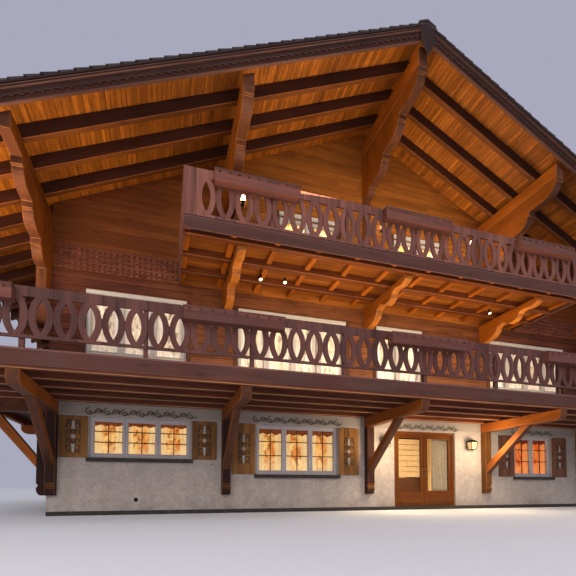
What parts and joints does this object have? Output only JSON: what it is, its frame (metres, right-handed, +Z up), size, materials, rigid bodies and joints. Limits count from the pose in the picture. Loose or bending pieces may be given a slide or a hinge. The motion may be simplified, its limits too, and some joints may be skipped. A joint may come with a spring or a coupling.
{
  "type": "alpine chalet",
  "caption": "Alpine chalet with a rendered ground storey, timber storeys, a low gabled roof, pierced balconies on carved brackets and a glazed double door.",
  "frame": {"origin": "on the ground under the middle of the roof, at the bottom centre of the box", "axes": "+X along the front, to the right as seen from outside; +Y from the front wall into the house; +Z up"},
  "size_m": [20.4, 18.96, 11.0617],
  "materials": {
    "stucco": "painted lime render",
    "foundation": "rough stone",
    "timber_wall": "stained boards",
    "gable_timber": "stained boards",
    "floor_timber": "stained timber",
    "beam_timber": "stained timber",
    "rafter_timber": "stained timber",
    "soffit_boards": "varnished boards",
    "deck_boards": "stained boards",
    "railing_timber": "stained boards",
    "barge_timber": "weathered boards",
    "shingles": "weathered shingles",
    "ridge_timber": "weathered boards",
    "box_timber": "stained boards",
    "white_frame": "white paint",
    "window_pane": "clear",
    "sill_stone": "honed",
    "shutter_timber": "stained boards",
    "door_timber": "varnished",
    "lantern_metal": "black"
  },
  "bodies": {
    "house": {"ground_slab": "foundation", "ground_wall_front_left": "stucco", "ground_wall_front_right": "stucco", "door_lintel_wall": "stucco", "ground_wall_left": "stucco", "ground_wall_right": "stucco", "ground_wall_back": "stucco", "first_floor": "floor_timber", "timber_wall_front": "timber_wall", "timber_wall_left": "timber_wall", "timber_wall_right": "timber_wall", "timber_wall_back": "timber_wall", "attic_floor": "floor_timber", "gable_wall_front": "gable_timber", "gable_wall_back": "gable_timber", "knee_walls": "timber_wall", "purlins": "beam_timber", "rafters_left": "rafter_timber", "rafters_right": "rafter_timber", "roof_boards_left": "soffit_boards", "roof_boards_right": "soffit_boards", "roof_left": "shingles", "roof_right": "shingles", "ridge_cap": "ridge_timber", "bargeboards_left": "barge_timber", "bargeboards_right": "barge_timber", "apex_plates": "ridge_timber", "ridge_brackets": "beam_timber", "mid_brackets": "beam_timber", "eaves_brackets": "beam_timber", "balcony_posts": "beam_timber", "balcony_beams": "beam_timber", "balcony_braces": "beam_timber", "lower_joists": "beam_timber", "lower_deck_front": "deck_boards", "lower_decks_side": "deck_boards", "lower_fascia": "railing_timber", "lower_railing_front": "railing_timber", "lower_railings_side": "railing_timber", "lower_railing_ends": "railing_timber", "upper_consoles": "beam_timber", "upper_beams": "beam_timber", "upper_joists": "beam_timber", "upper_deck": "deck_boards", "upper_fascia": "railing_timber", "upper_railing_front": "railing_timber", "upper_railings_side": "railing_timber", "flower_boxes": "box_timber", "window_frames": "white_frame", "window_glass": "window_pane", "window_sills": "sill_stone", "shutters": "shutter_timber", "wall_lanterns": "lantern_metal", "door_frame": "door_timber"},
    "door_left": {"door_leaf_left": "door_timber", "door_glass_left": "window_pane"},
    "door_right": {"door_leaf_right": "door_timber", "door_glass_right": "window_pane"}
  },
  "joints": [
    {"name": "door_left_hinge", "type": "hinge", "parent": "house", "child": "door_left", "pos_m": [0.915, -6.349, 0.1], "axis": [0, 0, 1], "range_deg": [0, 95]},
    {"name": "door_right_hinge", "type": "hinge", "parent": "house", "child": "door_right", "pos_m": [2.875, -6.349, 0.1], "axis": [0, 0, -1], "range_deg": [0, 95]}
  ]
}
